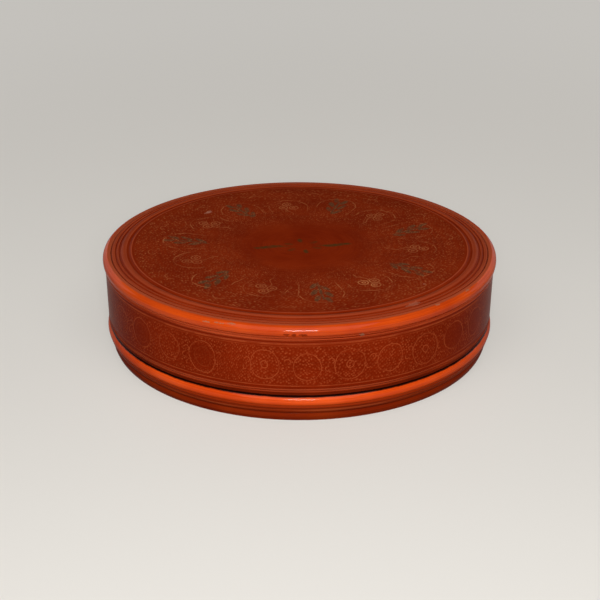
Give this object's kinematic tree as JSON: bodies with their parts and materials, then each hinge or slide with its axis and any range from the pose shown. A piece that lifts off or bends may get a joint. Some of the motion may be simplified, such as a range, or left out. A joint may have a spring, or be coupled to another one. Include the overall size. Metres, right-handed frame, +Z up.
{
  "type": "cylindrical box",
  "caption": "Low round lacquer box: a deep flat-topped lid slides down over an inner collar and rests on the moulded shoulder of the base.",
  "frame": {"origin": "middle of the circle that the box stands on, at the height of the table", "axes": "+Z up along the axis that every piece is turned about; the box is round, and -Y is the side that the picture shows"},
  "size_m": [0.2, 0.2, 0.0493],
  "materials": {
    "engraved_lacquer": "dark red lacquer over bamboo, finely engraved and polished to a soft gloss",
    "polished_lacquer": "plain orange-red lacquer over bamboo, polished bright",
    "inner_lacquer": "plain dark red lacquer over bamboo, soft gloss"
  },
  "bodies": {
    "base": {"body_floor": "inner_lacquer", "body_collar": "inner_lacquer", "body_mouth_hoop": "inner_lacquer", "shoulder_hoop": "polished_lacquer", "foot_hoop": "polished_lacquer"},
    "lid": {"lid_top_panel": "engraved_lacquer", "lid_rim_hoop": "polished_lacquer", "lid_wall": "engraved_lacquer", "lid_mouth_hoop": "engraved_lacquer"}
  },
  "joints": [
    {"name": "lid_lift", "type": "slide", "parent": "base", "child": "lid", "axis": [0, 0, 1], "range_m": [0, 0.08]}
  ]
}
